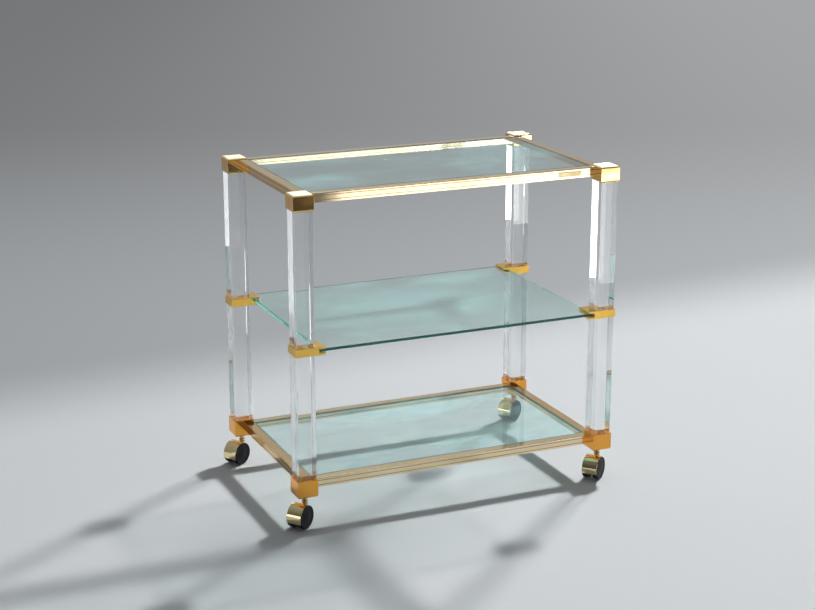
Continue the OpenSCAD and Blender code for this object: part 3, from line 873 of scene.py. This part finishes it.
def lamp(name, place, target, size, radiance, mirrored_only=False):
    """A flat lamp of a size in metres that faces a target and lights it evenly.

    A card that is only mirrored lights nothing matt, and isn't seen straight
    through a pane.
    """
    data = bpy.data.lights.new(name, "AREA")
    data.shape = "RECTANGLE"
    data.size, data.size_y = size
    data.energy = radiance * math.pi * size[0] * size[1]
    data.use_nodes = True
    n = Nodes(data.node_tree)
    reach = (Vector(target) - Vector(place)).length
    even = n.node("ShaderNodeLightFalloff", {}, {"Strength": 1 / reach ** 2}, output=2)
    if mirrored_only:
        passed = n.node("ShaderNodeLightPath", output="Transmission Depth")
        mirrored = n.node("ShaderNodeLightPath", output="Ray Depth") - passed > 1.5
        even = even * mirrored.atleast(0.5 - passed > 0)
    glow = n.node("ShaderNodeEmission", {}, {"Strength": even})
    n.finish("ShaderNodeOutputLight", surface=glow)
    light = bpy.data.objects.new(name, data)
    light.location = place
    light.rotation_euler = (Vector(target) - Vector(place)).to_track_quat("-Z", "Y").to_euler()
    light.visible_camera = False
    light.visible_diffuse = not mirrored_only
    bpy.context.scene.collection.objects.link(light)
    return light


lamp("key", (4.15, 3.04, 4.66), (0, 0, 0.2), (0.45, 0.45), 900)
lamp("overhead", (0, 0, 3.2), (0, 0, 0), (2.2, 2.2), 0.4)
# Cards for the top faces, the front and the left of the gold, and one that shows
# only in the posts
lamp("behind", (1.2, 3.2, 2.6), (0, 0, 0.7), (1.8, 1.1), 2.6, True)
lamp("right_panel", (1.2, -1.6, 0.19), (1.2, 0, 0.19), (0.6, 0.36), 3.2, True)
lamp("front_panel", (0.605, -1.6, 0.19), (0.605, 0, 0.19), (0.59, 0.36), 2.0, True)
lamp("left_board", (-1.2, -0.2, 0.14), (0, -0.2, 0.14), (0.9, 0.24), 2.4, True)
post_glow = lamp("post_glow", (0.18, -1.6, 0.19), (0.18, 0, 0.19), (0.26, 0.36), 0.42, True)
post_glow.visible_glossy = False

# ---------------------------------------------------------------------------
# Flag
# A sheet of black felt, 1 m wide and 35 cm high, stands on the floor in front. The
# front left blocks and the rail's left end mirror it.
# ---------------------------------------------------------------------------

FLAG_WIDTH, FLAG_HEIGHT = 1.0, 0.35
FLAG_X, FLAG_Y = -0.08, -1.95
bm = bmesh.new()
bmesh.ops.create_grid(bm, x_segments=1, y_segments=1, size=FLAG_WIDTH / 2)
bmesh.ops.rotate(bm, matrix=Matrix.Rotation(math.pi / 2, 3, "X"), verts=bm.verts)
bmesh.ops.scale(bm, vec=(1, 1, FLAG_HEIGHT), verts=bm.verts)
bmesh.ops.translate(bm, vec=(FLAG_X, FLAG_Y, FLAG_HEIGHT / 2), verts=bm.verts)
material, n = new_material("black_felt")
shader = n.node("ShaderNodeBsdfPrincipled", {}, {
    "Base Color": n.blend(n.noise(300), (0.03, 0.027, 0.025), (0.05, 0.045, 0.04)),
    "Roughness": 0.9,
})
n.finish("ShaderNodeOutputMaterial", surface=shader)
flag = stage_sheet(bm, "flag", material)
flag.visible_camera = False
flag.visible_shadow = False
flag.visible_diffuse = False
flag.visible_transmission = False

# ---------------------------------------------------------------------------
# Room
# A grey room, lighter behind the trolley, which the gold mirrors. Where the camera
# sees it, straight or through glass, it has the tone of the floor's far end.
# ---------------------------------------------------------------------------

world = bpy.data.worlds.new("studio")
world.use_nodes = True
bpy.context.scene.world = world
n = Nodes(world.node_tree)
way = n.node("ShaderNodeTexCoord", output="Generated")
split = n.node("ShaderNodeSeparateXYZ", {}, {"Vector": way}).socket.node.outputs
depth, height = Wire(n, split[1]), Wire(n, split[2])
behind = depth.between(-0.2, 0.5)
above = height.between(0.3, 0.75)
brightness = 0.07 + behind * 0.36 + above * (0.06 - behind * 0.2)
seen = n.node("ShaderNodeLightPath", output="Is Camera Ray") + n.node(
    "ShaderNodeLightPath", output="Is Transmission Ray"
)
brightness = brightness + seen.upto(1) * (0.28 - brightness)
shader = n.node(
    "ShaderNodeBackground", {}, {"Color": (0.97, 0.99, 1.0), "Strength": brightness}
)
n.finish("ShaderNodeOutputWorld", surface=shader)

# ---------------------------------------------------------------------------
# Camera
# It stands to the front left, above the top, and looks down a little.
# ---------------------------------------------------------------------------

data = bpy.data.cameras.new("camera")
data.sensor_width = 36
data.lens = 78.54
camera = bpy.data.objects.new("camera", data)
camera.location = (-1.5296, -3.4258, 1.4635)
camera.rotation_euler = (math.radians(73.97), 0, math.radians(-23.84))
bpy.context.scene.collection.objects.link(camera)
bpy.context.scene.camera = camera
bpy.context.scene.view_settings.view_transform = "Standard"
